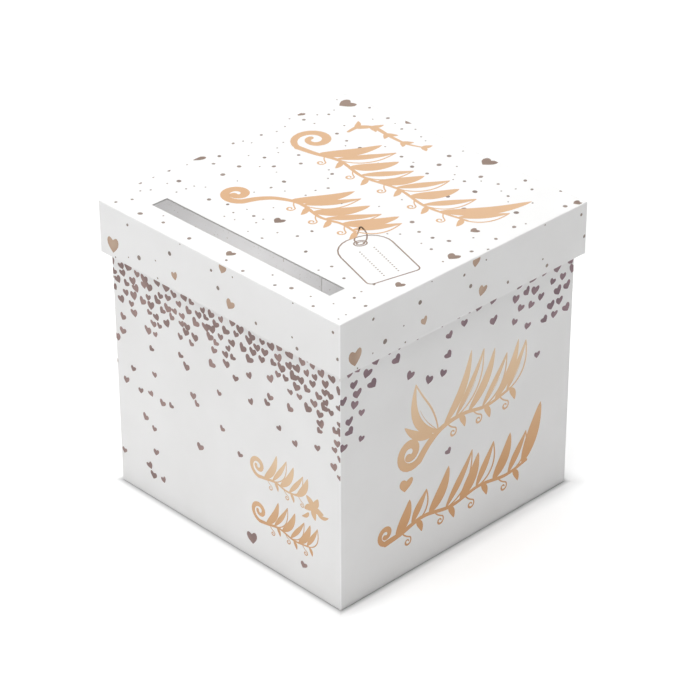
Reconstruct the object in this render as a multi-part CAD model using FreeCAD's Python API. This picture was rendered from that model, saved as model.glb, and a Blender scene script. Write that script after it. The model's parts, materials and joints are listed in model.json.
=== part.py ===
import FreeCAD, Part
import math
import os

# Square card box of folded micro-corrugated board: a four-walled body whose base is closed by four
# interlocking flaps, and a lift-off lid with rolled-over skirts and a slot for envelopes.
# Millimetres. +Z is up, the front faces -Y and the origin is on the floor under the box's middle.

# Board
board = 1.5  # thickness of the board
glue_line = 0.05  # gap on each side of a layer that is glued or trapped between two others

# Body
body_side = 296.0  # outside width and depth
box_height = 300.0  # floor to the top of the closed lid
seat_gap = 0.1  # between the walls' top edges and the lid that rests on them
seam_width = 34.0  # glue tab that joins the back wall to the left wall
seam_slant = 9.0  # how much the glue tab narrows at each end
seam_end_gap = 8.0  # glue tab's distance from the base flaps and from the wall's top edge

# Base flaps. They lie in layers one board thick, counted upwards from the floor.
front_layer = 0
side_layer = 1
back_layer = 2
tongue_layer = 3
crease_end_gap = 3.0  # from each end of a flap's crease to the body's corner
ramp_per_layer = 8.0  # distance over which a flap rises by one layer, measured from its crease
mitre_relief = 4.0  # how far a flap stays inside the diagonal that it shares with its neighbour
layer_relief = 3.0  # how far a flap keeps off the ramp of the flap above it
leg_reach = 168.0  # front flap's two legs, from the front wall
side_flap_reach = 76.0  # side flaps, from the side walls
tongue_reach = 143.0  # front flap's tongue, from the front wall
tongue_overlap = 25.0  # how far the tongue lies over the back flap's tab
tongue_ramp = 12.0  # distance over which the tongue rises
tongue_slit = 3.0  # gap between the tongue and each leg
tab_end_gap = 14.0  # from the end of the back flap's tab to the top of the tongue's ramp
tab_side_gap = 10.0  # between the back flap's tab and each side flap
tab_leg_gap = 2.0  # between the back flap's tab and each leg
flap_corner = 8.0  # corner radius of the flaps' free ends

# Lid
lid_gap = 2.4  # between the body and the lid's lining, on each side
lid_depth = 53.0  # outside height of the skirts
lining_top_gap = 0.5  # between the linings' top edges and the underside of the lid
corner_tab_length = 48.0
corner_tab_slant = 5.0  # how much a corner tab narrows towards its free end, at top and bottom
corner_tab_gap = 1.0  # above and below a corner tab's root

# Slot for envelopes
slot_length = 228.0
slot_width = 18.0
slot_inset = 28.2  # from the lid's front face to the slot

# Worked out from the sizes above
body_half = body_side / 2
wall_top = box_height - board - seat_gap
skirt = 3 * board + 2 * glue_line
lid_half = body_half + lid_gap + skirt
lid_bottom = box_height - lid_depth
back_tab_reach = body_side - tongue_reach + tongue_overlap
back_tab_half = body_half - side_flap_reach - tab_side_gap
leg_inner_side = back_tab_half + tab_leg_gap
tongue_half = leg_inner_side - tongue_slit
tongue_top = tongue_reach - tongue_overlap - tab_end_gap
tongue_root = tongue_top - tongue_ramp

quarter_turns = {"front": 0, "right": 1, "back": 2, "left": 3}


def point(x, y, z):
    return FreeCAD.Vector(x, y, z)


def face_of(corners):
    return Part.Face(Part.makePolygon(corners + corners[:1]))


def solid_between(first, second):
    """A flat-sided solid whose two ends are polygons with matching corners."""
    count = len(first)
    faces = [face_of(first), face_of(second)]
    for i in range(count):
        j = (i + 1) % count
        faces.append(face_of([first[i], first[j], second[j], second[i]]))
    solid = Part.makeSolid(Part.makeShell(faces))
    if solid.Volume < 0:
        solid.reverse()
    return solid


def turned(shape, side):
    """The shape, made for the front, turned to another side of the box."""
    copy = shape.copy()
    copy.rotate(point(0, 0, 0), point(0, 0, 1), 90 * quarter_turns[side])
    return copy


def rounded_outline(corners):
    """A closed wire in the XY plane. Each corner is (x, y, radius)."""
    edges = []
    first_start = last_end = None
    count = len(corners)
    for i, (x, y, radius) in enumerate(corners):
        here = point(x, y, 0)
        before = point(*corners[i - 1][:2], 0) - here
        after = point(*corners[(i + 1) % count][:2], 0) - here
        before.normalize()
        after.normalize()
        start = end = here
        if radius > 0:
            half_angle = before.getAngle(after) / 2
            setback = radius / math.tan(half_angle)
            start = here + before * setback
            end = here + after * setback
            inward = before + after
            inward.normalize()
            middle = here + inward * (radius / math.sin(half_angle) - radius)
            arc = Part.Arc(start, middle, end).toShape()
        if last_end is not None:
            edges.append(Part.makeLine(last_end, start))
        if first_start is None:
            first_start = start
        if radius > 0:
            edges.append(arc)
        last_end = end
    edges.append(Part.makeLine(last_end, first_start))
    return Part.Wire(edges)


def plan_prism(corners):
    """A tall prism over an outline, for cutting a flap to its shape."""
    prism = Part.Face(rounded_outline(corners)).extrude(point(0, 0, 2 * body_side))
    prism.translate(point(0, 0, -body_side))
    return prism


# Body


def wall(left_end="mitre", right_end="mitre"):
    """The front wall, mitred at the bottom for its flap. Its ends are named as seen from outside."""
    outer_left, inner_left = wall_end(left_end)
    outer_right, inner_right = wall_end(right_end)
    outer_y = -body_half
    inner_y = -body_half + board
    outer = [
        point(-outer_left, outer_y, 0),
        point(outer_right, outer_y, 0),
        point(outer_right, outer_y, wall_top),
        point(-outer_left, outer_y, wall_top),
    ]
    inner = [
        point(-inner_left, inner_y, board),
        point(inner_right, inner_y, board),
        point(inner_right, inner_y, wall_top),
        point(-inner_left, inner_y, wall_top),
    ]
    return solid_between(outer, inner)


def wall_end(kind):
    """Distance from the wall's middle to its end, on the outer and on the inner face."""
    if kind == "full":
        return body_half, body_half
    if kind == "short":
        return body_half - board, body_half - board
    return body_half, body_half - board


def seam_tab():
    """The glue tab: creased to the back wall's end and glued inside the left wall."""
    outer_x = -body_half + board + glue_line
    root_y = body_half - board
    tip_y = root_y - seam_width
    low = board + seam_end_gap
    high = wall_top - seam_end_gap
    outline = [
        (root_y, low),
        (root_y, high),
        (tip_y, high - seam_slant),
        (tip_y, low + seam_slant),
    ]
    outer = [point(outer_x, y, z) for y, z in outline]
    inner = [point(outer_x + board, y, z) for y, z in outline]
    return solid_between(outer, inner)


# Base flaps, each made against the front wall and then turned to its own side.
# "Reach" is the distance from the wall's outer face.


def flap_sheet(layer, reach):
    """A bent board across the whole width: mitred at the crease, it rises to its layer and runs flat."""
    ramp = ramp_per_layer * layer
    low = layer * board
    below = [(0, 0), (ramp, low), (reach, low)]
    above = [(reach, low + board), (ramp + board, low + board), (board, board)]
    if layer == 0:  # flat from the crease on
        del below[1], above[1]
    return sheet_from_side_view(below + above)


def sheet_from_side_view(outline):
    corners = [point(-body_half, reach - body_half, z) for reach, z in outline]
    return face_of(corners).extrude(point(body_side, 0, 0))


def front_flap():
    """The lowest flap: two legs that lie under the side flaps, and a tongue that rises between them."""
    root = body_half - crease_end_gap
    leg_side = body_half - ramp_per_layer - mitre_relief
    front = -body_half
    outline = [
        (-root, front, 0),
        (root, front, 0),
        (leg_side, front + root - leg_side, 0),
        (leg_side, front + leg_reach, flap_corner),
        (leg_inner_side, front + leg_reach, flap_corner),
        (leg_inner_side, front + tongue_root, 0),
        (-leg_inner_side, front + tongue_root, 0),
        (-leg_inner_side, front + leg_reach, flap_corner),
        (-leg_side, front + leg_reach, flap_corner),
        (-leg_side, front + root - leg_side, 0),
    ]
    legs = flap_sheet(front_layer, leg_reach).common(plan_prism(outline))
    return legs.fuse(tongue()).removeSplitter().Solids[0]


def tongue():
    """The bent strip that passes over the back flap's tab and keeps the base shut."""
    foot = tongue_root - ramp_per_layer  # where the strip grows out of the flap
    low = tongue_layer * board
    side_view = [
        (foot, 0),
        (tongue_root, 0),
        (tongue_top, low),
        (tongue_reach, low),
        (tongue_reach, low + board),
        (tongue_top, low + board),
        (tongue_root, board),
        (foot, board),
    ]
    outline = [
        (-tongue_half, foot - body_half, 0),
        (tongue_half, foot - body_half, 0),
        (tongue_half, tongue_reach - body_half, flap_corner),
        (-tongue_half, tongue_reach - body_half, flap_corner),
    ]
    return sheet_from_side_view(side_view).common(plan_prism(outline))


def side_flap(towards_front):
    """A flap of the second layer. It keeps inside the front diagonal and off the back flap's ramp."""
    front_end = -body_half + mitre_relief
    back_end = body_half - crease_end_gap
    back_side = body_half - back_layer * ramp_per_layer - layer_relief
    reach = side_flap_reach - body_half
    outline = [
        (front_end, -body_half, 0),
        (back_end, -body_half, 0),
        (back_side, -body_half + back_end - back_side, 0),
        (back_side, reach, flap_corner),
        (front_end + side_flap_reach, reach, flap_corner),
    ]
    if not towards_front:
        outline = [(-x, y, radius) for x, y, radius in reversed(outline)]
    return flap_sheet(side_layer, side_flap_reach).common(plan_prism(outline)).Solids[0]


def back_flap():
    """A flap of the third layer: it narrows along the back diagonals to a tab that the tongue covers."""
    root = body_half - mitre_relief
    shoulder = root - back_tab_half
    front = -body_half
    outline = [
        (-root, front, 0),
        (root, front, 0),
        (back_tab_half, front + shoulder, 0),
        (back_tab_half, front + back_tab_reach, flap_corner),
        (-back_tab_half, front + back_tab_reach, flap_corner),
        (-back_tab_half, front + shoulder, 0),
    ]
    return flap_sheet(back_layer, back_tab_reach).common(plan_prism(outline)).Solids[0]


# Lid


def square(half, z):
    return [point(-half, -half, z), point(half, -half, z), point(half, half, z), point(-half, half, z)]


def lid_top():
    """The top panel, mitred to its four skirts and cut through by the slot."""
    panel = solid_between(square(lid_half, box_height), square(lid_half - board, box_height - board))
    slot = Part.makeBox(
        slot_length,
        slot_width,
        3 * board,
        point(-slot_length / 2, -lid_half + slot_inset, box_height - 2 * board),
    )
    return panel.cut(slot).Solids[0]


def upright_panel(outer_half, low, high, inset_low, inset_high):
    """A front panel between two planes one board apart, with mitred ends. The insets mitre its edges."""
    inner_half = outer_half - board
    outer = [
        point(-outer_half, -outer_half, low),
        point(outer_half, -outer_half, low),
        point(outer_half, -outer_half, high),
        point(-outer_half, -outer_half, high),
    ]
    inner = [
        point(-inner_half, -inner_half, low + inset_low),
        point(inner_half, -inner_half, low + inset_low),
        point(inner_half, -inner_half, high - inset_high),
        point(-inner_half, -inner_half, high - inset_high),
    ]
    return solid_between(outer, inner)


def lid_side():
    return upright_panel(lid_half, lid_bottom, box_height, board, board)


def lid_lining():
    """The rolled-over inner wall of a skirt, mitred to the hem at its bottom edge."""
    outer_half = lid_half - skirt + board
    top = box_height - board - lining_top_gap
    return upright_panel(outer_half, lid_bottom + board, top, -board, 0)


def lid_hem():
    """The narrow strip under a skirt, between its two bottom creases."""
    inner_half = lid_half - skirt

    def strip(outside, inside, z):
        return [
            point(-outside, -outside, z),
            point(outside, -outside, z),
            point(inside, -inside, z),
            point(-inside, -inside, z),
        ]

    below = strip(lid_half, inner_half, lid_bottom)
    above = strip(lid_half - board, inner_half + board, lid_bottom + board)
    return solid_between(below, above)


def corner_tab(towards_right):
    """A tab of a side skirt, folded behind the front skirt and trapped by its lining."""
    outer_y = -lid_half + board + glue_line
    root_x = lid_half - board
    tip_x = root_x - corner_tab_length
    low = lid_bottom + board + corner_tab_gap
    high = box_height - board - corner_tab_gap
    outline = [
        (root_x, low),
        (root_x, high),
        (tip_x, high - corner_tab_slant),
        (tip_x, low + corner_tab_slant),
    ]
    if not towards_right:
        outline = [(-x, z) for x, z in reversed(outline)]
    outer = [point(x, outer_y, z) for x, z in outline]
    inner = [point(x, outer_y + board, z) for x, z in outline]
    return solid_between(outer, inner)


def make_parts():
    parts = {
        "wall_front": wall(),
        "wall_right": turned(wall(), "right"),
        "wall_back": turned(wall(right_end="short"), "back"),
        "wall_left": turned(wall(left_end="full"), "left"),
        "seam_tab": seam_tab(),
        "base_flap_front": front_flap(),
        "base_flap_right": turned(side_flap(towards_front=True), "right"),
        "base_flap_back": turned(back_flap(), "back"),
        "base_flap_left": turned(side_flap(towards_front=False), "left"),
        "lid_top": lid_top(),
    }
    for side in quarter_turns:
        parts["lid_side_" + side] = turned(lid_side(), side)
        parts["lid_hem_" + side] = turned(lid_hem(), side)
        parts["lid_lining_" + side] = turned(lid_lining(), side)
    parts["lid_corner_tab_front_right"] = corner_tab(towards_right=True)
    parts["lid_corner_tab_front_left"] = corner_tab(towards_right=False)
    parts["lid_corner_tab_back_left"] = turned(corner_tab(towards_right=True), "back")
    parts["lid_corner_tab_back_right"] = turned(corner_tab(towards_right=False), "back")
    return parts


os.makedirs("parts", exist_ok=True)
for name, shape in make_parts().items():
    if not (shape.isValid() and len(shape.Solids) == 1):
        raise ValueError(name + " is not one valid solid")
    shape.exportStep("parts/" + name + ".step")
    print(name, round(shape.Volume / 1000, 2), "cm3")
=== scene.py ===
import json
import random
from math import atan2, copysign, cos, degrees, dist, exp, pi, radians, sin, tan

import bmesh
import bpy
from mathutils import Matrix, Vector


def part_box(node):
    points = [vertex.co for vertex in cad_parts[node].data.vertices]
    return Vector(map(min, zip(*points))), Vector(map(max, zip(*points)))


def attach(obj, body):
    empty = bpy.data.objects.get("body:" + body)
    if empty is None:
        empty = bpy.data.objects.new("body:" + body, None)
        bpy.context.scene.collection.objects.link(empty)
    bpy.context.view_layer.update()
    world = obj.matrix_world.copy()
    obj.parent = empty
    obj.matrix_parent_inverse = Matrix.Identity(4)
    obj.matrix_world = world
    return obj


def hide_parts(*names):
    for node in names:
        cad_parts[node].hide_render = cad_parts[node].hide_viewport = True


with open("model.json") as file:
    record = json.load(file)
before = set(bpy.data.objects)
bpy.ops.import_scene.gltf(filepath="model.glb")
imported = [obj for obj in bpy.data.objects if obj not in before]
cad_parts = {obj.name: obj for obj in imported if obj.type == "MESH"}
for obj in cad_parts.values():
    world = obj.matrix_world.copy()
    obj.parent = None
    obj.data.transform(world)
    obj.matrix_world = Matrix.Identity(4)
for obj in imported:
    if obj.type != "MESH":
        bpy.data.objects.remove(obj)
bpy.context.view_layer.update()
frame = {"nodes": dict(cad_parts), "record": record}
print("frame loaded:", len(frame["nodes"]), "nodes")

mm = 0.001  # shapes are worked out in millimetres and written in metres
sides = ("front", "right", "back", "left")
facing = ("front", "back")  # the other two are fluted and printed in their own way


def cornersOf(node):
    low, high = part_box(node)
    return low / mm, high / mm


# The sizes that the looks are built around, read from the frame
wallLow, wallHigh = cornersOf("wall_front")
skirtLow, skirtHigh = cornersOf("lid_side_front")
bodyHalf = -wallLow.y
bodyTop = wallHigh.z
board = wallHigh.y - wallLow.y
printRoom = 0.08  # the lid's cover is this much inside the CAD faces, to leave room for the ink and foil
lidHalf = -skirtLow.y - printRoom
lidTop = skirtHigh.z - printRoom
lidBottom = skirtLow.z
liningFace = -cornersOf("lid_hem_front")[1].y  # the face that the body slides past, from the middle
liningTop = cornersOf("lid_lining_front")[1].z
slotCentre = next(m for m in frame["record"]["mounts"] if m["name"] == "card_slot")["pos_m"]


# Materials

class Value:
    # A node's output that can be used in sums

    def __init__(self, paint, socket):
        self.paint = paint
        self.socket = socket

    def sum(self, operation, first, second=0.0):
        return self.paint.add("Math", {"operation": operation}, {0: first, 1: second})

    def __add__(self, other):
        return self.sum("ADD", self, other)

    __radd__ = __add__

    def __mul__(self, other):
        return self.sum("MULTIPLY", self, other)

    __rmul__ = __mul__

    def __sub__(self, other):
        return self.sum("SUBTRACT", self, other)

    def __rsub__(self, other):
        return self.sum("SUBTRACT", other, self)

    def sine(self):
        return self.sum("SINE", self)


class Paint:
    # One material, built around a Principled shader

    def __init__(self, name, **plain):
        self.material = bpy.data.materials.new(name)
        self.material.use_nodes = True
        self.nodes = self.material.node_tree.nodes
        self.links = self.material.node_tree.links
        self.shader = self.nodes["Principled BSDF"]
        for socket, value in plain.items():
            self.shader.inputs[socket.replace("_", " ")].default_value = value
        self.place = self.add("TexCoord", {}, {}, "Object")

    def add(self, kind, settings, sockets, out=0):
        node = self.nodes.new("ShaderNode" + kind)
        for name, value in settings.items():
            if name == "stops":
                self.setStops(node.color_ramp, value)
            else:
                setattr(node, name, value)
        for socket, value in sockets.items():
            self.feed(node.inputs[socket], value)
        return Value(self, node.outputs[out])

    def setStops(self, ramp, stops):
        while len(ramp.elements) < len(stops):
            ramp.elements.new(0.5)
        for element, (position, colour) in zip(ramp.elements, stops):
            element.position = position
            element.color = (*colour, 1)

    def feed(self, socket, value):
        if isinstance(value, Value):
            self.links.new(value.socket, socket)
        else:
            socket.default_value = value

    def along(self, direction):
        return self.add("VectorMath", {"operation": "DOT_PRODUCT"}, {0: self.place, 1: direction}, "Value")

    def aside(self):
        # how far out a place is along x and along y, to either side
        folded = self.add("VectorMath", {"operation": "ABSOLUTE"}, {0: self.place})
        alongX = self.add("SeparateXYZ", {}, {0: folded})
        return alongX, Value(self, alongX.socket.node.outputs[1])

    def noise(self, scale, detail, roughness=0.5):
        sockets = {"Vector": self.place, "Scale": scale, "Detail": detail, "Roughness": roughness}
        return self.add("TexNoise", {}, sockets)

    def ramp(self, value, stops):
        return self.add("ValToRGB", {"stops": stops}, {"Fac": value})

    def mix(self, share, first, second, how="MIX"):
        # sockets 6, 7 and output 2 are the Mix node's colours
        settings = {"data_type": "RGBA", "blend_type": how}
        return self.add("Mix", settings, {0: share, 6: first, 7: second}, 2)

    def finish(self, colour, roughness, height=None, strength=0.2, depth=0.0001):
        self.feed(self.shader.inputs["Base Color"], colour)
        self.feed(self.shader.inputs["Roughness"], roughness)
        if height is not None:
            bump = {"Height": height, "Strength": strength, "Distance": depth}
            self.feed(self.shader.inputs["Normal"], self.add("Bump", {}, bump))
        return self.material


def grey(level):
    return (level, level, level)


paper = {
    "cover": (0.85, 0.847, 0.844),  # bleached and satin laminated
    "coverShade": (0.826, 0.822, 0.817),
    "corner": 0.99,  # painted highlight: the cover is painted this near white along the upright corners
    "cornerHighlightWidth": 0.0011,
    "inside": (0.84, 0.836, 0.836),
    "insideShade": (0.79, 0.784, 0.784),
    "medium": (0.8, 0.775, 0.735),
    "mediumShade": (0.7, 0.665, 0.61),
    "fleck": (0.5, 0.46, 0.4, 1),
    "flutePitch": 0.0032,
    "ripple": 0.3,  # how far the flutes show through the cover
    "insideRipple": 0.65,
    "roughness": 0.36,
    "insideRoughness": 0.78,
}


def fluteRipple(paint, across):
    turns = 2 * pi / paper["flutePitch"]
    return (paint.along(across) * turns).sine() * 0.5 + 0.5


def coverPaper(name, across, half):
    paint = Paint(name, Coat_Roughness=0.35)
    cloud = paint.noise(14.0, 3.0)
    fibre = paint.noise(900.0, 6.0, 0.65)
    scuff = paint.noise(60.0, 8.0, 0.7)
    tone = paint.ramp(cloud, [(0.35, paper["coverShade"]), (0.62, paper["cover"])])
    colour = paint.mix(fibre * 0.05, tone, (*grey(0.72), 1), "MULTIPLY")
    # painted highlight: a thin near-white line painted along the upright corners, standing in for light
    # caught on the rounded creases
    alongX, alongY = paint.aside()
    cornerHighlightMask = alongX.sum("MINIMUM", alongX, alongY) - (half * mm - paper["cornerHighlightWidth"])
    colour = paint.mix(cornerHighlightMask * (2 / paper["cornerHighlightWidth"]), colour, (*grey(paper["corner"]), 1))
    roughness = scuff * 0.16 + paper["roughness"]
    height = fluteRipple(paint, across) * paper["ripple"] + fibre * 0.35
    return paint.finish(colour, roughness, height, 0.1, 0.00006)


def insidePaper(name, across):
    paint = Paint(name)
    cloud = paint.noise(22.0, 4.0)
    fibre = paint.noise(700.0, 8.0, 0.7)
    flecks = paint.noise(420.0, 2.0)
    tone = paint.ramp(cloud, [(0.3, paper["insideShade"]), (0.65, paper["inside"])])
    fleck = paint.ramp(flecks, [(0.69, grey(0.0)), (0.75, grey(1.0))])
    colour = paint.mix(fibre * 0.12, tone, (*grey(0.6), 1), "MULTIPLY")
    colour = paint.mix(fleck, colour, paper["fleck"])
    height = fluteRipple(paint, across) * paper["insideRipple"] + fibre * 0.6
    return paint.finish(colour, paper["insideRoughness"] + fibre * 0.14, height, 0.25, 0.0001)


def mediumPaper(name):
    paint = Paint(name)
    fibre = paint.noise(600.0, 8.0, 0.7)
    tone = paint.ramp(fibre, [(0.3, paper["mediumShade"]), (0.7, paper["medium"])])
    return paint.finish(tone, 0.8 + fibre * 0.12, fibre, 0.4, 0.0001)


def printInk(name, dark, light, roughness=0.42):
    # a printed colour with the mottle of ink on paper, a little lighter in some hearts than in others
    paint = Paint(name)
    patch = paint.noise(45.0, 1.0)
    grain = paint.noise(1100.0, 6.0, 0.7)
    tone = paint.ramp(patch, [(0.38, dark), (0.62, light)])
    colour = paint.mix(grain * 0.22, tone, (*grey(0.62), 1), "MULTIPLY")
    return paint.finish(colour, grain * 0.16 + roughness, grain, 0.12, 0.00004)


foil = {
    "metallic": 0.5,
    "roughness": 0.32,
    "light": (0.68, 0.51, 0.34),
    "deep": (0.54, 0.29, 0.127),
    "peach": (0.625, 0.37, 0.193),
    "peachLight": (0.645, 0.41, 0.236),
    "proud": 0.03,
    "layer": 0.004,  # strokes that cross lie this much above each other
    "stemLayer": 11,  # and the long stems lie on top
    "stemPoints": 50,  # a stroke with more points than this is a stem
    "sunk": 0.02,
    "capSteps": 7,  # a stroke's rounded end
    "capFrom": 0.5,  # narrower ends stay square
}


def foilGradient(name, direction, start, end, first, last, metallic):
    # hot foil that runs from one tone to the other between two places along a direction
    paint = Paint(name)
    share = (paint.along(direction) - start) * (1 / (end - start))
    drift = paint.noise(30.0, 2.0)
    grain = paint.noise(1600.0, 4.0, 0.6)
    tone = paint.ramp(share + (drift - 0.5) * 0.25, [(0.0, first), (1.0, last)])
    paint.feed(paint.shader.inputs["Metallic"], (drift - 0.5) * 0.2 + metallic)
    colour = paint.mix(grain * 0.1, tone, (*grey(0.7), 1), "MULTIPLY")
    return paint.finish(colour, grain * 0.12 + foil["roughness"], grain * 0.5 + drift, 0.08, 0.00004)


# the way across the flutes of each kind of panel
fluteWays = {"body": (1, 1, 0), "lidX": (1, 0, 0), "lidZ": (0, 0, 1)}
fluteWays |= {"flapX": (1, 0, 0), "flapY": (0, 1, 0)}
cover = {}
for key, across in fluteWays.items():
    cover[key] = coverPaper("coverPaper_" + key, across, lidHalf if key.startswith("lid") else bodyHalf)
inside = {key: insidePaper("insidePaper_" + key, across) for key, across in fluteWays.items()}
medium = mediumPaper("flutedMedium")
mauveInk = printInk("brownMauveInk", (0.235, 0.145, 0.13), (0.33, 0.21, 0.19))
purpleInk = printInk("purpleMauveInk", (0.2, 0.115, 0.14), (0.28, 0.17, 0.195))
tanInk = printInk("tanInk", (0.44, 0.29, 0.2), (0.53, 0.37, 0.265))
taupeInk = printInk("taupeInk", (0.2, 0.132, 0.098), (0.27, 0.185, 0.14))
dotInk = printInk("dotInk", (0.2, 0.15, 0.125), (0.28, 0.215, 0.18))
print("materials mixed")


# Board panels

ply = {
    "liner": 0.3,  # thickness of the flat sheet on each side
    "medium": 0.2,  # thickness of the wavy sheet between them
    "pitch": 3.2,
    "samplesPerFlute": 8,
    "bend": 1.0,  # outside radius at a crease
    "bendSteps": 5,
    "support": 0.7,  # flat strip beside each bend, so the bend's shading stays in the bend
    "sunk": 0.08,  # how far the wavy sheet stops short of a cut edge
    "clear": 0.05,  # and of the panel beside a crease
    "shortest": 0.3,
    "cornerSteps": 6,
    "sharp": radians(28),  # edges with a greater angle are shaded sharp
}


def space(along, up, out, origin=(0, 0, 0)):
    # from a panel's own (along, up, out) to the shared frame, in millimetres
    turn = Matrix((along, up, out)).transposed().to_4x4()
    return Matrix.Translation(origin) @ turn


def turned(matrix, side):
    return Matrix.Rotation(pi / 2 * sides.index(side), 4, "Z") @ matrix


def rounded(corners):
    # an outline from (x, y, radius) corners
    outline = []
    for i, (x, y, radius) in enumerate(corners):
        here = Vector((x, y))
        if radius == 0:
            outline.append(here)
            continue
        before = (Vector(corners[i - 1][:2]) - here).normalized()
        after = (Vector(corners[(i + 1) % len(corners)][:2]) - here).normalized()
        half = before.angle(after) / 2
        centre = here + (before + after).normalized() * (radius / sin(half))
        start = here + before * (radius / tan(half)) - centre
        sweep = start.angle_signed(here + after * (radius / tan(half)) - centre)
        for step in range(ply["cornerSteps"] + 1):
            spoke = start.copy()
            spoke.rotate(Matrix.Rotation(-sweep * step / ply["cornerSteps"], 2))
            outline.append(centre + spoke)
    return [tuple(p) for p in outline]


def box2d(left, right, low, high):
    return [(left, low), (right, low), (right, high), (left, high)]


def cutSheet(sheet, axis, place, outwards=0):
    # cuts at a place along axis 0 or 1, and drops what lies outwards of it
    spot = Vector()
    normal = Vector()
    spot[axis] = place
    normal[axis] = outwards or 1
    everything = sheet.verts[:] + sheet.edges[:] + sheet.faces[:]
    bmesh.ops.bisect_plane(
        sheet, geom=everything, dist=1e-5, plane_co=spot, plane_no=normal, clear_outer=bool(outwards)
    )


def flatSheet(outline, cuts=(), hole=None):
    # a flat mesh over the outline
    sheet = bmesh.new()
    sheet.faces.new([sheet.verts.new((x, y, 0)) for x, y in outline])
    for axis, place in cuts:
        cutSheet(sheet, axis, place)
    if hole:
        left, right, low, high = hole
        inHole = []
        for face in sheet.faces:
            centre = face.calc_center_bounds()
            if left < centre.x < right and low < centre.y < high:
                inHole.append(face)
        bmesh.ops.delete(sheet, geom=inHole, context="FACES")
    return sheet


def thicken(sheet, near, far, place):
    # the closed solid between two depths of a flat sheet
    sheet.verts.index_update()
    count = len(sheet.verts)
    points = [place(v.co.x, v.co.y, near) for v in sheet.verts]
    points += [place(v.co.x, v.co.y, far) for v in sheet.verts]
    faces = []
    for face in sheet.faces:
        ring = [v.index for v in face.verts]
        faces.append(ring)
        faces.append([i + count for i in reversed(ring)])
    for edge in sheet.edges:
        if len(edge.link_faces) == 1:
            loop = edge.link_loops[0]
            a = loop.vert.index
            b = loop.link_loop_next.vert.index
            faces.append([b, a, a + count, b + count])
    sheet.free()
    return points, faces


def linked(name, data):
    # a new object in the scene
    item = bpy.data.objects.new(name, data)
    bpy.context.scene.collection.objects.link(item)
    return item


def addPiece(name, body, solids, materials, replaces=()):
    # one object from (points, faces, material number) solids
    points = []
    faces = []
    numbers = []
    for solidPoints, solidFaces, number in solids:
        base = len(points)
        points += solidPoints
        faces += [[i + base for i in face] for face in solidFaces]
        numbers += [number] * len(solidFaces)
    mesh = bpy.data.meshes.new(name)
    mesh.from_pydata([p * mm for p in points], [], faces)
    for material in materials:
        mesh.materials.append(material)
    mesh.polygons.foreach_set("material_index", numbers)
    work = bmesh.new()
    work.from_mesh(mesh)
    bmesh.ops.recalc_face_normals(work, faces=work.faces[:])
    work.to_mesh(mesh)
    work.free()
    mesh.shade_smooth()
    mesh.set_sharp_from_angle(angle=ply["sharp"])
    piece = linked(name, mesh)
    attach(piece, body)
    if replaces:
        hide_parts(*replaces)


def bendCuts(folds):
    # where the cover is cut so that it can go round each crease
    cuts = []
    for axis, line, way in folds:
        for step in range(1, ply["bendSteps"] + 1):
            cuts.append((axis, line + way * ply["bend"] * step / ply["bendSteps"]))
        cuts.append((axis, line + way * (ply["bend"] + ply["support"])))
    return cuts


def foldedPlace(matrix, folds, rise=None):
    # where a point of the panel lies once its creased edges are rounded, mitred and raised
    radius = ply["bend"]

    def place(u, v, depth):
        spot = [u, v]
        sink = depth
        for axis, line, way in folds:
            inward = (spot[axis] - line) * way
            if depth < radius and inward < radius:
                angle = radians(45 + 45 * max(inward, 0) / radius)
                spot[axis] = line + way * (radius - (radius - depth) * cos(angle))
                sink = max(sink, radius - (radius - depth) * sin(angle))
            elif depth >= radius and inward < depth:
                spot[axis] = line + way * depth
        if rise:
            sink += rise(spot[0], spot[1] - depth)
        return matrix @ Vector((spot[0], spot[1], -sink))

    return place


def crossings(loops, axis, place):
    # the stretches of a line that lie inside the outline and outside its hole
    found = []
    for loop in loops:
        for first, second in zip(loop, loop[1:] + loop[:1]):
            a, b = first[axis], second[axis]
            if (a <= place < b) or (b <= place < a):
                share = (place - a) / (b - a)
                found.append(first[1 - axis] + share * (second[1 - axis] - first[1 - axis]))
    found.sort()
    return list(zip(found[::2], found[1::2]))


def fluteWave(loops, run, folds, stations, place):
    # the wavy sheet, in strips. run is the axis that its flutes run along
    acrossAxis = 1 - run
    limits = [[-1e9, 1e9], [-1e9, 1e9]]
    for axis, line, way in folds:
        limits[axis][0 if way > 0 else 1] = line + way * (board + ply["clear"])
    places = [p[acrossAxis] for loop in loops for p in loop]
    low = max(min(places) + ply["clear"], limits[acrossAxis][0])
    high = min(max(places) - ply["clear"], limits[acrossAxis][1])
    count = round((high - low) / ply["pitch"] * ply["samplesPerFlute"])
    swing = (board - 2 * ply["liner"] - ply["medium"]) / 2
    rows = []
    for step in range(count + 1):
        at = low + (high - low) * step / count
        middle = board / 2 + swing * cos(2 * pi * at / ply["pitch"])
        spans = []
        for a, b in crossings(loops, acrossAxis, at):
            a = max(a + ply["sunk"], limits[run][0])
            b = min(b - ply["sunk"], limits[run][1])
            if b - a > ply["shortest"]:
                spans.append((a, b))
        rows.append((at, middle, spans))
    solids = []
    start = 0
    for step in range(1, count + 2):
        if step <= count and len(rows[step][2]) == len(rows[start][2]):
            continue
        for number in range(len(rows[start][2])):
            if step - start > 1:
                solids.append(waveStrip(rows[start:step], number, run, stations, place))
        start = step
    return solids


def welded(points, faces):
    # points that fall together become one, and faces that close up are left out
    first = {}
    kept = []
    numbers = []
    for point in points:
        key = tuple(round(c, 6) for c in point)
        if key not in first:
            first[key] = len(kept)
            kept.append(point)
        numbers.append(first[key])
    whole = []
    for face in faces:
        ring = [numbers[i] for i in face]
        ring = [i for k, i in enumerate(ring) if i != ring[k - 1]]
        if len(ring) > 2:
            whole.append(ring)
    return kept, whole


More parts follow.
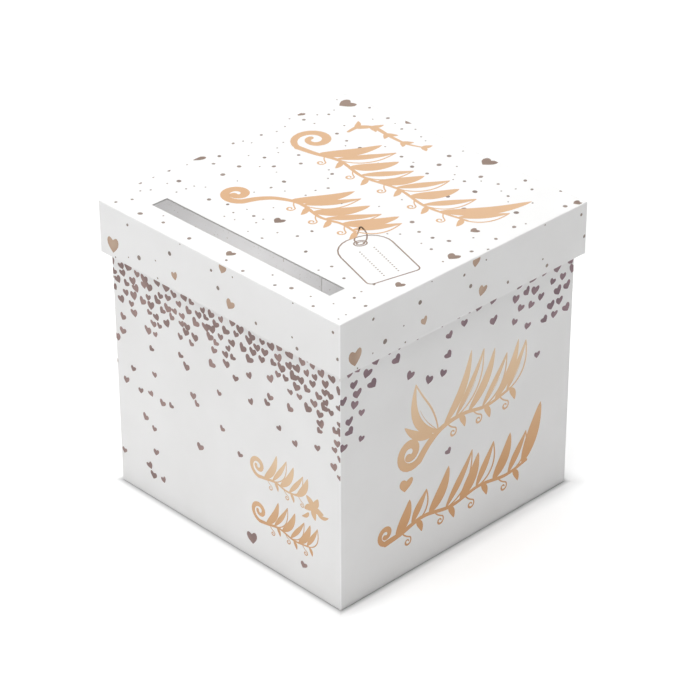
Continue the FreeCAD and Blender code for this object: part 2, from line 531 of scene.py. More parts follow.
def waveStrip(rows, number, run, stations, place):
    # one closed strip of it, with a point at each station where the panel bends
    half = ply["medium"] / 2
    points = []
    for at, middle, spans in rows:
        a, b = spans[number]
        stops = [a] + [min(max(s, a), b) for s in stations] + [b]
        for side in (-half, half):
            for stop in stops if side < 0 else reversed(stops):
                spot = (stop, at) if run == 0 else (at, stop)
                points.append(place(*spot, middle + side))
    ring = len(points) // len(rows)
    faces = []
    for row in range(len(rows) - 1):
        for i in range(ring):
            j = (i + 1) % ring
            faces.append([row * ring + i, row * ring + j, (row + 1) * ring + j, (row + 1) * ring + i])
    last = (len(rows) - 1) * ring
    for i in range(ring // 2 - 1):
        far = ring - 1 - i
        faces.append([i, i + 1, far - 1, far])
        faces.append([last + far, last + far - 1, last + i + 1, last + i])
    return welded(points, faces)


def boardPanel(node, body, matrix, outline, folds=(), run=1, papers="body", hole=None, rise=None, bends=()):
    # cover, wavy medium and inside paper of one panel. bends are places along axis 1 where it bends
    liner = ply["liner"]
    place = foldedPlace(matrix, folds, rise)
    extra = [(1, b) for b in bends]
    loops = [outline]
    if hole:
        left, right, low, high = hole
        extra += [(0, left), (0, right), (1, low), (1, high)]
        loops.append(box2d(*hole))
    solids = [(*thicken(flatSheet(outline, bendCuts(folds) + extra, hole), 0, liner, place), 0)]
    backed = board - liner
    solids.append((*thicken(flatSheet(outline, extra, hole), backed, board, place), 1))
    stations = bends if run == 1 else ()
    solids += [(*wave, 2) for wave in fluteWave(loops, run, folds, stations, place)]
    materials = [cover[papers], inside[papers], medium]
    slot = "inner_board" if ("lining" in node or "tab" in node) else "printed_board"
    addPiece(node + "_board", body, solids, materials, [node])
    return place


def sideFolds(half, axis=0):
    # the creases at a panel's two ends, as (axis, place, way inwards)
    return [(axis, -half, 1), (axis, half, -1)]


# The body's four walls. Axis 0 runs to the right as seen from outside, and axis 1 up.
wallPlaces = {}
for side in sides:
    matrix = turned(space((1, 0, 0), (0, 0, 1), (0, -1, 0), (0, -bodyHalf, 0)), side)
    rightEnd = bodyHalf
    folds = sideFolds(bodyHalf) + [(1, 0, 1)]
    if side == "back":  # its right end is creased to the glue tab, inside the left wall
        rightEnd = bodyHalf - board
        folds.pop(1)
    if side == "left":  # its left end is the blank's cut edge
        folds.pop(0)
    outline = box2d(-bodyHalf, rightEnd, 0, bodyTop)
    wallPlaces[side] = boardPanel("wall_" + side, "box_body", matrix, outline, folds)

# Glue tab
tabLow, tabHigh = cornersOf("seam_tab")
seamSlant = 9.0
matrix = space((0, -1, 0), (0, 0, 1), (-1, 0, 0), (tabLow.x, 0, 0))
outline = [(-tabHigh.y, tabLow.z), (-tabLow.y, tabLow.z + seamSlant)]
outline += [(-tabLow.y, tabHigh.z - seamSlant), (-tabHigh.y, tabHigh.z)]
boardPanel("seam_tab", "box_body", matrix, outline)
print("walls folded")


# Base flaps, each drawn as on the front wall: axis 1 is the reach from the wall's outer face

flap = {
    "creaseEnd": 3.0,
    "ramp": 8.0,  # for each layer
    "mitre": 4.0,
    "layerRelief": 3.0,
    "slit": 3.0,
    "tabLegGap": 2.0,
    "tongueRamp": 12.0,
    "tabEndGap": 14.0,
    "tongueOverlap": 25.0,
    "corner": 8.0,
    "rampSteps": 6,
    "beside": 10.0,  # between a side flap's end and the back flap's tab
}
legReach = cornersOf("base_flap_front")[1].y + bodyHalf
sideReach = bodyHalf - cornersOf("base_flap_right")[0].x
backReach = bodyHalf - cornersOf("base_flap_back")[0].y
tabHalf = bodyHalf - sideReach - flap["beside"]  # half the width of the back flap's tab
tongueReach = 2 * bodyHalf - backReach + flap["tongueOverlap"]
tongueTop = tongueReach - flap["tongueOverlap"] - flap["tabEndGap"]
tongueRoot = tongueTop - flap["tongueRamp"]
legInner = tabHalf + flap["tabLegGap"]
tongueHalf = legInner - flap["slit"]


def ease(share):
    share = min(max(share, 0.0), 1.0)
    return 0.5 - 0.5 * cos(pi * share)


def rampTo(layer):
    def rise(u, reach):
        return layer * board * ease(reach / (flap["ramp"] * layer))

    return rise


def tongueRise(u, reach):
    if abs(u) > tongueHalf + 0.01:
        return 0.0
    return 3 * board * ease((reach - tongueRoot) / flap["tongueRamp"])


def rampBends(start, length):
    return [start + length * step / flap["rampSteps"] for step in range(flap["rampSteps"] + 1)]


def addFlap(side, corners, rise, bends):
    matrix = turned(space((1, 0, 0), (0, 1, 0), (0, 0, -1), (0, -bodyHalf, 0)), side)
    papers = "flapX" if side in facing else "flapY"
    body = side + "_flap"
    node = "base_flap_" + side
    boardPanel(node, body, matrix, rounded(corners), [(1, 0, 1)], 1, papers, None, rise, bends)


def mirrored(corners):
    return [(-x, y, radius) for x, y, radius in reversed(corners)]


root = bodyHalf - flap["creaseEnd"]
legSide = bodyHalf - flap["ramp"] - flap["mitre"]
rightHalf = [
    (root, 0, 0),
    (legSide, root - legSide, 0),
    (legSide, legReach, flap["corner"]),
    (legInner, legReach, flap["corner"]),
    (legInner, tongueRoot, 0),
    (tongueHalf, tongueRoot, 0),
    (tongueHalf, tongueReach, flap["corner"]),
]
addFlap("front", rightHalf + mirrored(rightHalf), tongueRise, rampBends(tongueRoot, flap["tongueRamp"]))

frontEnd = -bodyHalf + flap["mitre"]
backEnd = bodyHalf - flap["creaseEnd"]
backSide = bodyHalf - 2 * flap["ramp"] - flap["layerRelief"]
corners = [
    (frontEnd, 0, 0),
    (backEnd, 0, 0),
    (backSide, backEnd - backSide, 0),
    (backSide, sideReach, flap["corner"]),
    (frontEnd + sideReach, sideReach, flap["corner"]),
]
addFlap("right", corners, rampTo(1), rampBends(board, flap["ramp"]))
addFlap("left", mirrored(corners), rampTo(1), rampBends(board, flap["ramp"]))

root = bodyHalf - flap["mitre"]
rightHalf = [(root, 0, 0), (tabHalf, root - tabHalf, 0), (tabHalf, backReach, flap["corner"])]
addFlap("back", rightHalf + mirrored(rightHalf), rampTo(2), rampBends(board, 2 * flap["ramp"]))
print("base flaps folded")


# Lid

slot = {"length": 228.0, "width": 18.0, "y": slotCentre[1] / mm}
slant = 5.0  # of the corner tabs' ends

matrix = space((1, 0, 0), (0, 1, 0), (0, 0, 1), (0, 0, lidTop))
slotEdges = (
    -slot["length"] / 2,
    slot["length"] / 2,
    slot["y"] - slot["width"] / 2,
    slot["y"] + slot["width"] / 2,
)
folds = sideFolds(lidHalf) + sideFolds(lidHalf, 1)
outline = box2d(-lidHalf, lidHalf, -lidHalf, lidHalf)
lidTopPlace = boardPanel("lid_top", "lid", matrix, outline, folds, 1, "lidX", slotEdges)

skirtPlaces = {}
for side in sides:
    run = 1 if side in facing else 0  # the flutes of the lid's blank run from front to back
    papers = "lidX" if run else "lidZ"

    # skirt, seen from outside
    matrix = turned(space((1, 0, 0), (0, 0, 1), (0, -1, 0), (0, -lidHalf, 0)), side)
    folds = sideFolds(lidHalf) + [(1, lidBottom, 1), (1, lidTop, -1)]
    outline = box2d(-lidHalf, lidHalf, lidBottom, lidTop)
    skirtPlaces[side] = boardPanel("lid_side_" + side, "lid", matrix, outline, folds, run, papers)

    # strip under the skirt, seen from below: axis 1 runs inwards
    matrix = turned(space((1, 0, 0), (0, 1, 0), (0, 0, -1), (0, 0, lidBottom)), side)
    folds = [(1, -lidHalf, 1), (1, -liningFace, -1)]
    outline = [(-lidHalf, -lidHalf), (lidHalf, -lidHalf)]
    outline += [(liningFace, -liningFace), (-liningFace, -liningFace)]
    boardPanel("lid_hem_" + side, "lid", matrix, outline, folds, run, papers)

    # lining, seen from inside
    matrix = turned(space((-1, 0, 0), (0, 0, 1), (0, 1, 0), (0, -liningFace, 0)), side)
    outline = box2d(-liningFace, liningFace, lidBottom, liningTop)
    boardPanel("lid_lining_" + side, "lid", matrix, outline, [(1, lidBottom, 1)], run, papers)

for corner in ("front_right", "front_left", "back_left", "back_right"):
    node = "lid_corner_tab_" + corner
    low, high = cornersOf(node)
    outwards = -1 if corner.startswith("front") else 1
    faceY = low.y if outwards < 0 else high.y
    rootX, tipX = (high.x, low.x) if corner.endswith("right") else (low.x, high.x)
    matrix = space((1, 0, 0), (0, 0, 1), (0, outwards, 0), (0, faceY, 0))
    outline = [(rootX, low.z), (rootX, high.z), (tipX, high.z - slant), (tipX, low.z + slant)]
    boardPanel(node, "lid", matrix, outline, (), 0, "lidX")
print("lid folded")


# Printed shapes

ink = {
    "proud": 0.03,
    "sunk": 0.02,
    "layer": 0.004,  # shapes that lie on each other differ by this in height
    "layers": 3,
    "heartSteps": 20,
    "heartFull": 1.8,  # how full a heart's sides are
    "heartWaves": (13, -4.2, -1.7, -0.8),
    "heartSize": 15,
    "dotSteps": 12,
}


def heartOutline(x, y, width, angle=0.0, lean=0.0, stretch=1.0):
    # the heart curve, tip down, from one formula
    outline = []
    for step in range(ink["heartSteps"]):
        t = 2 * pi * step / ink["heartSteps"]
        across = copysign(abs(sin(t)) ** ink["heartFull"], sin(t))
        waves = [share * cos((k + 1) * t) for k, share in enumerate(ink["heartWaves"])]
        up = sum(waves) / ink["heartSize"]
        up *= stretch
        across += lean * up
        outline.append((across, up))
    return placed(outline, x, y, width / 2, angle)


def dotOutline(x, y, width, stretch=1.0, angle=0.0):
    ring = [2 * pi * step / ink["dotSteps"] for step in range(ink["dotSteps"])]
    return placed([(cos(t), sin(t) * stretch) for t in ring], x, y, width / 2, angle)


def placed(outline, x, y, size, angle):
    c = cos(angle) * size
    s = sin(angle) * size
    return [(x + c * a - s * b, y + s * a + c * b) for a, b in outline]


def printShape(outline, place, limits, folds, level):
    # a thin closed solid over the outline, kept inside limits and bent over the folds it reaches
    left, right, low, high = limits
    xs, ys = zip(*outline)
    if min(xs) > right or max(xs) < left or min(ys) > high or max(ys) < low:
        return None
    cuts = [c for c in bendCuts(folds) if (min(xs), min(ys))[c[0]] < c[1] < (max(xs), max(ys))[c[0]]]
    sheet = flatSheet(outline, cuts)
    for axis, edge, outwards in ((0, left, -1), (0, right, 1), (1, low, -1), (1, high, 1)):
        cutSheet(sheet, axis, edge, outwards)
    if not sheet.faces:
        sheet.free()
        return None
    proud = ink["proud"] + ink["layer"] * level
    return thicken(sheet, -proud, ink["sunk"], place)


def addPrint(name, body, outlines, place, limits, material, folds=()):
    solids = []
    for number, outline in enumerate(outlines):
        shape = printShape(outline, place, limits, folds, number % ink["layers"])
        if shape:
            solids.append((*shape, 0))
    addPiece(name, body, solids, [material])


# Hearts on the body. They crowd under the lid, hang lower at the corners and thin out below.
confetti = {
    "seed": 20,
    "jitter": (0.26, 0.22),  # as a share of the distance between hearts
    "turn": 0.6,
    "lean": 0.2,
    "stretch": (0.86, 1.02),
    "shrink": 0.1,  # the share of their width that hearts lose by this far below the crowd
    "shrinkReach": 60,
    "top": 9,  # the first row is this far above the lid's edge
    "lowest": 14.0,
    "stray": 0.055,  # the least chance of a heart anywhere
    "clear": 10.0,  # around the foil
    "endReach": 60,  # how far in from a wall's ends its own depth and fade count
}
# How deep the crowd is in the middle and at the left and right ends, how it fades, how full it is,
# heart widths, and the steps between hearts
frontBand = {"depths": (30, 38, 50), "fades": (18, 44, 24), "full": 1.0}
frontBand |= {"width": (7.0, 10.4), "apart": (12.6, 8.8)}
sideBand = {"depths": (10, 28, 50), "fades": (9, 28, 42), "full": 0.84}
sideBand |= {"width": (8.0, 11.0), "apart": (16.6, 12.2)}


def easedAcross(values, u):
    # a value in the middle of a wall, eased to other values at its left and right ends
    middle, atLeft, atRight = values
    left = exp(-((u + bodyHalf) / confetti["endReach"]) ** 2)
    right = exp(-((u - bodyHalf) / confetti["endReach"]) ** 2)
    return middle + (atLeft - middle) * left + (atRight - middle) * right


def wallHearts(band, chance, foilSpots):
    stepU, stepV = band["apart"]
    outlines = []
    columns = int(2 * bodyHalf / stepU) + 2
    for row in range(int((bodyTop - confetti["lowest"]) / stepV)):
        for column in range(-columns // 2, columns // 2 + 1):
            u = (column + 0.5 * (row % 2)) * stepU
            v = lidBottom + confetti["top"] - row * stepV
            u += chance.uniform(-1, 1) * stepU * confetti["jitter"][0]
            v += chance.uniform(-1, 1) * stepV * confetti["jitter"][1]
            below = lidBottom - v - easedAcross(band["depths"], u)
            keep = band["full"] * min(1.0, exp(-max(below, 0) / easedAcross(band["fades"], u)))
            shrink = confetti["shrink"] * min(max(below / confetti["shrinkReach"], 0), 1)
            width = chance.uniform(*band["width"]) * (1 - shrink)
            angle = chance.uniform(-1, 1) * confetti["turn"]
            lean = chance.uniform(-1, 1) * confetti["lean"]
            stretch = chance.uniform(*confetti["stretch"])
            chosen = chance.random() < max(keep, confetti["stray"])
            clear = all(dist((u, v), spot) > confetti["clear"] for spot in foilSpots)
            if chosen and clear and v > confetti["lowest"]:
                outlines.append(heartOutline(u, v, width, angle, lean, stretch))
    return outlines


# Foil ornaments: branches drawn flat, as strokes of (x, y, width) points

def curveValue(before, a, b, after, t):
    # a value on the curve between a and b (Catmull-Rom)
    square = (2 * before - 5 * a + 4 * b - after) * t * t
    return 0.5 * (2 * a + (b - before) * t + square + (3 * a - before - 3 * b + after) * t**3)


def smooth(points, steps=6):
    # a curve through the points, with any number of values in each
    line = []
    ends = [points[0], *points, points[-1]]
    for i in range(1, len(ends) - 2):
        for step in range(steps):
            line.append(tuple(curveValue(*four, step / steps) for four in zip(*ends[i - 1 : i + 3])))
    line.append(tuple(points[-1]))
    return line


def coil(x, y, outer, inner, start, turns, bold, thin):
    # a spiral stroke from its outer end to its inner end. turns above 0 run anticlockwise
    count = max(int(abs(turns) * 22), 3)
    stroke = []
    for step in range(count + 1):
        share = step / count
        radius = outer * (inner / outer) ** share
        angle = radians(start) + 2 * pi * turns * share
        width = thin + (bold - thin) * sin(pi * min(share * 1.2, 1.0)) ** 1.3
        stroke.append((x + radius * cos(angle), y + radius * sin(angle), width))
    return stroke


def headingAt(line, step):
    before = line[max(step - 1, 0)]
    after = line[min(step + 1, len(line) - 1)]
    return atan2(after[1] - before[1], after[0] - before[0])


def midrib(x, y, length, heading, bend, steps=14):
    angle = radians(heading)
    line = [(x, y)]
    for step in range(steps):
        a = angle + bend * sin(pi * (step + 0.5) / steps - pi / 2)
        x += length / steps * cos(a)
        y += length / steps * sin(a)
        line.append((x, y))
    return line


def fullLeaf(x, y, length, width, heading, bend=0.3):
    line = midrib(x, y, length, heading, bend)
    stroke = []
    for step, (px, py) in enumerate(line):
        t = step / (len(line) - 1)
        belly = 0.1 + 0.9 * sin(pi * t**0.8) ** 0.85 if t < 1 else 0
        stroke.append((px, py, width * belly or 0.3))  # it ends in a point
    return [stroke]


def openLeaf(x, y, length, width, heading, bold, thin, bend=0.3):
    # an outlined leaf: a bold edge and a thin one, with a fine vein
    line = midrib(x, y, length, heading, bend)
    edges = []
    for side, heavy in ((1, bold), (-1, thin * 1.3)):
        stroke = []
        for step, (px, py) in enumerate(line):
            t = step / (len(line) - 1)
            h = headingAt(line, step) + pi / 2
            belly = sin(pi * t**0.85)
            off = side * (width - heavy) / 2 * belly
            stroke.append((px + off * cos(h), py + off * sin(h), thin + (heavy - thin) * belly))
        edges.append(stroke)
    vein = [(px, py, thin * 0.7 * (1 - step / 12)) for step, (px, py) in enumerate(line[:9])]
    return edges + [vein]


def tendril(x, y, size, heading):
    # a fine stalk that ends in a small coil
    stalk = midrib(x, y, 13 * size, heading, 0.25, 6)
    end = stalk[-1]
    turn = radians(heading)
    radius = 4.6 * size
    centre = (end[0] + radius * sin(turn), end[1] - radius * cos(turn))
    curl = coil(*centre, radius, radius * 0.3, heading + 90, -1.1, 1.9 * size, 1.3 * size)
    return [[(px, py, 1.3 * size) for px, py in stalk] + curl[1:]]


def garland(stem, size, tall, first, last, plump=1.0):
    # upright leaves in a slanted rhythm along a stem, with small leaves and tendrils between them
    line = smooth([(x, y, w * size) for x, y, w in stem], 10)
    strokes = [line]
    runs = [0.0]
    for a, b in zip(line, line[1:]):
        runs.append(runs[-1] + dist(a[:2], b[:2]))

    def at(share):
        nearest = min(range(len(line)), key=lambda i: abs(runs[i] - share * runs[-1]))
        return line[nearest][:2]

    step = (last - first) / (len(tall) - 1)
    for i, height in enumerate(tall):
        share = first + step * i
        x, y = at(share)
        if i % 2:
            width = (8 + 7.5 * plump) * size
            edges = 7.8 * plump * size, 1.4 * size  # bold and thin
            strokes += openLeaf(x, y, height * size, width, 55 + 3 * (i % 3), *edges)
            strokes += fullLeaf(*at(share + step * 0.3), 15 * size, 6 * size, -64, -0.3)
        else:
            width = 12 * plump * size
            strokes += fullLeaf(x, y, height * size, width, 62 - 2 * (i % 3))
            strokes += tendril(*at(share + step * 0.35), size, -40)
    return strokes


def sprig(stem, count):
    # a thin stem with small leaves in pairs
    line = smooth(stem, 10)
    strokes = [line]
    for i in range(count):
        place = round((0.15 + 0.8 * i / (count - 1)) * (len(line) - 2))
        x, y, _ = line[place]
        ahead = line[place + 1]
        heading = degrees(atan2(ahead[1] - y, ahead[0] - x))
        length = 15 - 5 * i / count
        strokes += fullLeaf(x, y, length, 5.6, heading + 38)
        strokes += fullLeaf(x, y, length * 0.85, 5.2, heading - 42, -0.3)
    return strokes


def lidOrnament():
    stem = [(-104, 43, 7), (-84, 46, 5.5), (-56, 52, 4), (-20, 45, 3.4)]
    stem += [(20, 51, 3.2), (60, 45, 3.2), (104, 52, 2.6)]
    strokes = garland(stem, 1.0, (64, 58, 48, 50, 46, 52, 48, 50, 88, 48), 0.11, 0.95, 1.2)
    strokes.append(coil(-104, 65, 22, 5.5, -90, -1.25, 9, 6))
    stem = [(-94, 99, 3), (-94, 113, 5), (-82, 122, 5), (-60, 120, 4), (-38, 120, 3), (-20, 127, 1.5)]
    strokes += sprig(stem, 5)
    stem = [(-62, -65, 8), (-55, -50, 7), (-43, -38, 5.5), (-22, -31, 4)]
    stem += [(8, -36, 3.4), (30, -31, 3), (49, -33, 2.5)]
    strokes += garland(stem, 1.0, (62, 54, 54, 52, 54, 46), 0.34, 0.97, 1.2)
    strokes.append(coil(-76, -58, 15.6, 4.5, -27, -1.2, 8.5, 8))
    return strokes


def rightOrnament():
    stem = [(-51, 115, 8), (-38, 128, 7), (-20, 137, 5), (6, 139, 3.6), (36, 134, 3.2), (66, 139, 2.6)]
    strokes = garland(stem, 1.1, (68, 62, 58, 50, 56, 46), 0.3, 0.97, 0.78)
    strokes.append(coil(-62, 128, 17, 5, -50, -1.2, 9, 8))
    strokes += openLeaf(-27, 136, 68, 24, 116, 9.5, 1.5, -0.35)
    strokes += fullLeaf(-33, 134, 44, 9, 148, -0.3)
    stem = [(-92, 45, 6), (-72, 47, 5), (-44, 52, 3.6), (-8, 46, 3.4)]
    stem += [(28, 51, 3.2), (64, 46, 3.2), (92, 50, 2.6)]
    strokes += garland(stem, 1.1, (34, 32, 44, 54, 44, 42, 44, 40), 0.07, 0.86)
    strokes += fullLeaf(86, 49, 62, 16, 68, 0.12)
    strokes.append(coil(-92, 55, 10, 3, -90, -1.1, 5.5, 5))
    return strokes


def frontOrnament():
    stem = [(43, 94, 6), (52, 95.5, 5), (66, 97.5, 3.6), (80, 95, 3.2), (95, 97, 2.6)]
    strokes = garland(stem, 0.62, (58, 56, 54, 50, 46), 0.16, 0.96)
    strokes.append(coil(43, 105, 11, 2.8, -90, -1.25, 4.8, 3.6))
    stem = [(44, 46, 6), (54, 47.5, 5), (70, 50, 3.6), (88, 46.5, 3.2), (108, 49, 2.6)]
    strokes += garland(stem, 0.62, (56, 54, 52, 50, 50, 46), 0.14, 0.96)
    strokes.append(coil(44, 57, 11, 2.8, -90, -1.25, 4.8, 3.6))
    for turn in range(5):  # a small flower between the two
        strokes += fullLeaf(114, 94, 13, 6.6, 64 + 72 * turn, 0.2)
    strokes += fullLeaf(119, 90, 15, 4, 8, 0.5)
    strokes += fullLeaf(108, 86, 12, 3.8, 220, -0.4)
    return strokes


def strokeSheet(stroke):
    # a flat strip along the stroke, with rounded ends unless it runs back to its start
    sheet = bmesh.new()
    leftSide = []
    rightSide = []
    for i, (x, y, width) in enumerate(stroke):
        heading = headingAt(stroke, i)
        across = (-sin(heading) * width / 2, cos(heading) * width / 2)
        leftSide.append(sheet.verts.new((x + across[0], y + across[1], 0)))
        rightSide.append(sheet.verts.new((x - across[0], y - across[1], 0)))
    for i in range(len(stroke) - 1):
        sheet.faces.new([rightSide[i], rightSide[i + 1], leftSide[i + 1], leftSide[i]])
    closed = dist(stroke[0][:2], stroke[-1][:2]) < 1e-6
    for end, first, last in ((0, leftSide[0], rightSide[0]), (-1, rightSide[-1], leftSide[-1])):
        x, y, width = stroke[end]
        if closed or width < foil["capFrom"]:
            continue
        start = atan2(first.co.y - y, first.co.x - x)
        cap = []
        for step in range(1, foil["capSteps"]):
            angle = start + pi * step / foil["capSteps"]
            cap.append((x + width / 2 * cos(angle), y + width / 2 * sin(angle), 0))
        sheet.faces.new([first, *[sheet.verts.new(spot) for spot in cap], last])
    return sheet


def addStrokes(name, body, strokes, place, material, shapes=()):
    solids = []
    for number, stroke in enumerate(strokes):
        layer = foil["stemLayer"] if len(stroke) > foil["stemPoints"] else number % foil["stemLayer"]
        proud = foil["proud"] + foil["layer"] * layer
        solids.append((*thicken(strokeSheet(stroke), -proud, foil["sunk"], place), 0))
    for outline in shapes:
        solids.append((*thicken(flatSheet(outline), -foil["proud"], foil["sunk"], place), 0))
    addPiece(name, body, solids, [material])


peach = foilGradient("peachFoil", (0.3, 0.95, 0), -0.09, 0.14, foil["peach"], foil["peachLight"], 0.2)
addStrokes("lid_top_foil", "lid", lidOrnament(), lidTopPlace, peach)
sideFoil = foilGradient("sideFoil", (0, 0, 1), 0.05, 0.2, foil["deep"], foil["light"], foil["metallic"])
frontFoil = foilGradient("frontFoil", (0, 0, 1), 0.03, 0.135, foil["deep"], foil["light"], foil["metallic"])
bigHeart = heartOutline(-67, 97, 17, -0.1, 0.1, 0.85)
frontPrint = (frontOrnament(), frontFoil, [], frontBand, mauveInk)
sidePrint = (rightOrnament(), sideFoil, [bigHeart], sideBand, purpleInk)
for side in sides:
    drawing, wallFoil, shapes, _, _ = frontPrint if side in facing else sidePrint
    addStrokes("wall_" + side + "_foil", "box_body", drawing, wallPlaces[side], wallFoil, shapes)
print("foil stamped")

chance = random.Random(confetti["seed"])
for side in sides:
    rightEdge = bodyHalf - board - 0.2 if side == "back" else bodyHalf
    limits = (-bodyHalf, rightEdge, 0.5, bodyTop - 0.3)
    drawing, _, _, band, wallInk = frontPrint if side in facing else sidePrint
    foilSpots = [(x, y) for stroke in drawing for x, y, _ in stroke[::2]]
    hearts = wallHearts(band, chance, foilSpots)
    if side in facing:
        hearts.append(heartOutline(33, 23, 14, 0.25, 0.1, 0.95))
    name = "wall_" + side + "_hearts"
    addPrint(name, "box_body", hearts, wallPlaces[side], limits, wallInk, sideFolds(bodyHalf))
print("hearts printed on the body")


# Prints on the lid

tag = {"turn": -18.0, "eyelet": (67, -44), "line": 1.4, "dot": 1.6, "dots": 13, "dotStep": 3.8}


def tagPlace(x, y):
    return placed([(x, y)], *tag["eyelet"], 1, radians(tag["turn"]))[0]


def tagStroke(points, steps=0):
    if steps:
        points = smooth(points, steps)
    return [(*tagPlace(x, y), tag["line"]) for x, y in points]


def oval(wide, high):
    spokes = [2 * pi * step / 24 for step in range(25)]
    return [(wide / 2 * cos(t), high / 2 * sin(t)) for t in spokes]


edge = rounded([(-13, 26.5, 21), (-9, -26.5, 26), (69, -26.5, 5), (64, 26.5, 5)])
string = [(2.5, 1), (-4, 8), (-14, 13), (-24, 14), (-27, 13.5), (-24, 11), (-16, 5), (-8, -2), (-1, -2.5)]
tagLines = [tagStroke(points) for points in (edge + edge[:1], oval(9.5, 12), oval(5, 7.5))]
tagLines.append(tagStroke(string, 5))
tagDots = []
for row, inset in ((7.5, 0), (-7.5, 2)):
    for dot in range(tag["dots"]):
        tagDots.append(dotOutline(*tagPlace(12 + inset + tag["dotStep"] * dot, row), tag["dot"]))
addStrokes("lid_top_tag", "lid", tagLines, lidTopPlace, taupeInk, tagDots)

scatter = {
    "seed": 7,
    "dots": 150,
    "skirtDots": 17,
    "sizes": ((4.7, 0.2, 20.0), (3.4, 0.58, 15.0), (1.9, 1.0, 8.0)),  # widths, shares up to each, and room
    "widths": (0.85, 1.12),
    "squash": (0.8, 1.0),
    "tries": 40,  # for each dot
    "gap": 5,
    "aroundFoil": 11,
    "aroundSlot": 4,
    "aroundTag": 18,
}
lidHearts = [  # x, y, width and turn
    (-137, 140, 16.5, -0.12), (40, 148, 15, 0.1), (-152, 93, 8, 0.3), (-153, -36, 12.5, 0.25),
    (-68, 154, 9, 0.1), (150, 147, 8.5, -0.2), (121, 44, 8.5, -0.15), (140, -3, 11.5, 0.2),
    (142, -71, 9, 0.25), (-13, -66, 10.5, 0.2), (1, -137, 9, 0.15),
]
skirtHearts = [(-137, 262, 15.5, 0.08), (-54, 263, 8, 0.35), (19, 264, 10.5, -0.35), (10, 296, 9.5, -0.15)]


def clearOf(x, y, room, spots):
    # whether a dot keeps clear of every (x, y, room) spot
    return all(
        dist((x, y), s[:2]) > max((s[2] + scatter["gap"]) / 2, min(room, s[2])) for s in spots
    )


def scatterDots(count, limits, spots, chance):
    outlines = []
    spots = list(spots)
    tries = 0
    while len(outlines) < count and tries < count * scatter["tries"]:
        tries += 1
        x = chance.uniform(*limits[:2])
        y = chance.uniform(*limits[2:])
        pick = chance.random()
        width, _, room = next(size for size in scatter["sizes"] if pick <= size[1])
        width *= chance.uniform(*scatter["widths"])
        if clearOf(x, y, room, spots):
            spots.append((x, y, room))
            squash = chance.uniform(*scatter["squash"])
            outlines.append(dotOutline(x, y, width, squash, chance.uniform(0, 3)))
    return outlines


chance = random.Random(scatter["seed"])
spots = [(x, y, scatter["aroundFoil"]) for stroke in lidOrnament() for x, y, _ in stroke[::6]]
spots += [(x, slot["y"], slot["width"] + scatter["aroundSlot"]) for x in range(-114, 115, 6)]
spots += [(*tagPlace(x, y), scatter["aroundTag"]) for x in range(0, 66, 11) for y in (-18, -6, 6, 18)]
spots += [h[:3] for h in lidHearts]
inner = lidHalf - ply["bend"] - 0.6
lidLimits = (-inner, inner, -inner, inner)
hearts = [heartOutline(x, y, width, angle, 0.12) for x, y, width, angle in lidHearts]
dots = scatterDots(scatter["dots"], lidLimits, spots, chance)
addPrint("lid_top_hearts", "lid", hearts, lidTopPlace, lidLimits, taupeInk)
addPrint("lid_top_dots", "lid", dots, lidTopPlace, lidLimits, dotInk)
skirtLimits = (-inner, inner, lidBottom + 1.6, lidTop - 1.6)
dots = scatterDots(scatter["skirtDots"], skirtLimits, [h[:3] for h in skirtHearts], chance)
hearts = [heartOutline(x, y, width, angle, 0.1, 1.1) for x, y, width, angle in skirtHearts]
for side in sides:
    addPrint("lid_side_" + side + "_hearts", "lid", hearts, skirtPlaces[side], skirtLimits, tanInk)
    addPrint("lid_side_" + side + "_dots", "lid", dots, skirtPlaces[side], skirtLimits, dotInk)
print("lid printed")


# Floor, light and camera

studio = {
    "world": 0.03,
    "floor": 0.9,
    "paintedFillGlow": (  # painted light: how much the floor glows, by distance out from the body
        (0.003, 0.0), (0.01, 0.28), (0.12, 0.26), (0.4, 0.13),
        (0.9, 0.26), (1.6, 0.47), (2.4, 0.68), (3.6, 0.88), (5.0, 1.0),
    ),
    "paintedContactShadow": 0.005,  # painted shadow: the floor is painted darker from here in to the body
    "paintedContactShadowLevel": 0.62,
    "floorReach": 12.0,
    "floorTop": -0.0002,
    "dome": 18.0,
    "topPower": 178.0,
    "topSize": 4.5,
    "topPlace": (-0.25, -0.35, 3.3),
    "frontPower": 8.0,
    "frontPlace": (-1.6, -3.0, 1.0),
    "frontSize": 1.8,
    "insidePower": 0.42,
    "insidePlace": (0.0, 0.0, 0.15),
    "insideRadius": 0.09,
}


def floorPaint():
    # white paper with painted light and shade: a painted shadow at the box's foot, and a glow that is
    # strongest where the lamps don't reach
    paint = Paint("floorPaint", Emission_Strength=1.0)
    soft = paint.noise(3.0, 2.0)
    level = studio["floor"]
    tone = paint.ramp(soft, [(0.3, grey(level - 0.01)), (0.7, grey(level))])
    alongX, alongY = paint.aside()
    far = studio["paintedFillGlow"][-1][0]
    outside = alongX.sum("MAXIMUM", alongX, alongY) - bodyHalf * mm
    # painted contact shadow: the floor's colour is darkened towards the box's foot
    stops = [(0.0, grey(studio["paintedContactShadowLevel"])), (1.0, grey(1.0))]
    paintedContactShadow = paint.ramp(outside * (1 / studio["paintedContactShadow"]), stops)
    tone = paint.mix(1.0, tone, paintedContactShadow, "MULTIPLY")
    # painted light: the floor glows by distance from the box, filling in the shade the lamps leave, and not
    # at the box's foot
    paintedFillGlow = [(apart / far, grey(level)) for apart, level in studio["paintedFillGlow"]]
    paint.feed(paint.shader.inputs["Emission Color"], paint.ramp(outside * (1 / far), paintedFillGlow))
    return paint.finish(tone, soft * 0.05 + 0.9)


floorMesh = bpy.data.meshes.new("floor")
reach = studio["floorReach"]
floorEdge = [(x, y, studio["floorTop"]) for x, y in box2d(-reach, reach, -reach, reach)]
floorMesh.from_pydata(floorEdge, [], [(0, 1, 2, 3)])
floorMesh.materials.append(floorPaint())
linked("floor", floorMesh)

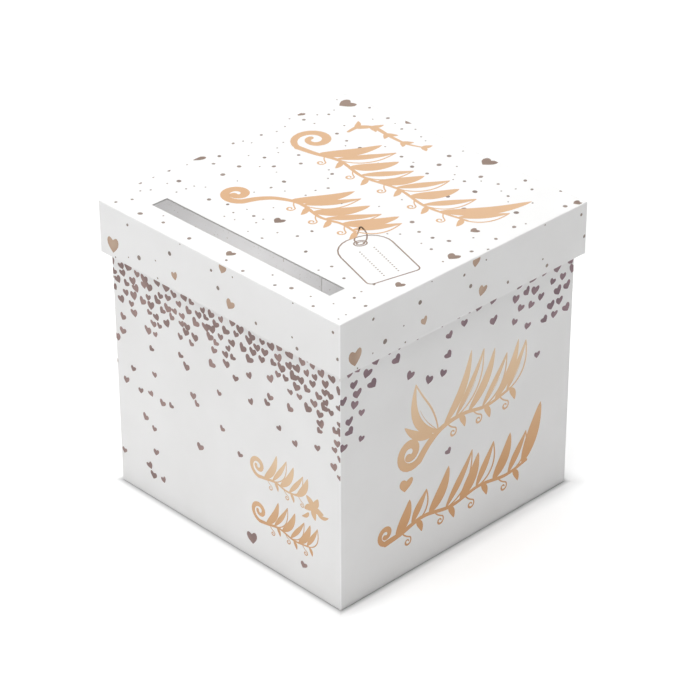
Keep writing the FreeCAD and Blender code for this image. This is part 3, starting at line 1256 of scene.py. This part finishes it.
# a white dome to look at and to be mirrored in the foil, which lights nothing else
domeMesh = bpy.data.meshes.new("backdrop")
dome = bmesh.new()
bmesh.ops.create_uvsphere(dome, u_segments=48, v_segments=24, radius=studio["dome"])
bmesh.ops.reverse_faces(dome, faces=dome.faces[:])
dome.to_mesh(domeMesh)
dome.free()
domeMesh.shade_smooth()
domePaint = Paint("backdropPaint", Emission_Strength=1.0)
soft = domePaint.noise(0.2, 1.0)
tone = domePaint.ramp(soft, [(0.3, grey(1.0)), (0.7, grey(1.03))])
domePaint.feed(domePaint.shader.inputs["Emission Color"], tone)
domeMesh.materials.append(domePaint.finish((0, 0, 0, 1), 1.0))
backdrop = linked("backdrop", domeMesh)
backdrop.visible_diffuse = False
backdrop.visible_shadow = False

bpy.context.scene.view_settings.view_transform = "Standard"
world = bpy.data.worlds.new("studio")
world.use_nodes = True
background = world.node_tree.nodes["Background"].inputs
background["Color"].default_value = (1, 1, 1, 1)
background["Strength"].default_value = studio["world"]
bpy.context.scene.world = world


def addLight(name, kind, **settings):
    # aimed at the middle of the box
    data = bpy.data.lights.new(name, kind)
    data.energy = studio[name + "Power"]
    for setting, value in settings.items():
        setattr(data, setting, value)
    light = linked(name + "Light", data)
    light.location = studio[name + "Place"]
    if kind == "AREA":
        way = Vector(studio["insidePlace"]) - light.location
        light.rotation_euler = way.to_track_quat("-Z", "Y").to_euler()
    light.visible_camera = False


addLight("top", "AREA", size=studio["topSize"])
addLight("front", "AREA", size=studio["frontSize"])
addLight("inside", "POINT", shadow_soft_size=studio["insideRadius"])  # what comes through the white board

camera = {
    "azimuth": 45.74,
    "elevation": 30.99,
    "roll": -0.15,
    "distance": 2.676,
    "lens": 149.4,
    "shift": (0.0097, -0.0081),
}
azimuth = radians(camera["azimuth"])
elevation = radians(camera["elevation"])
level = cos(elevation)
back = Vector((sin(azimuth) * level, -cos(azimuth) * level, sin(elevation)))
middle = Vector((0, 0, skirtHigh.z * mm / 2))
data = bpy.data.cameras.new("camera")
data.lens = camera["lens"]
data.sensor_width = 36
data.shift_x, data.shift_y = camera["shift"]
eye = linked("camera", data)
eye.location = middle + back * camera["distance"]
aim = back.to_track_quat("Z", "Y").to_matrix()
eye.rotation_euler = (aim @ Matrix.Rotation(radians(camera["roll"]), 3, "Z")).to_euler()
bpy.context.scene.camera = eye
print("studio set")
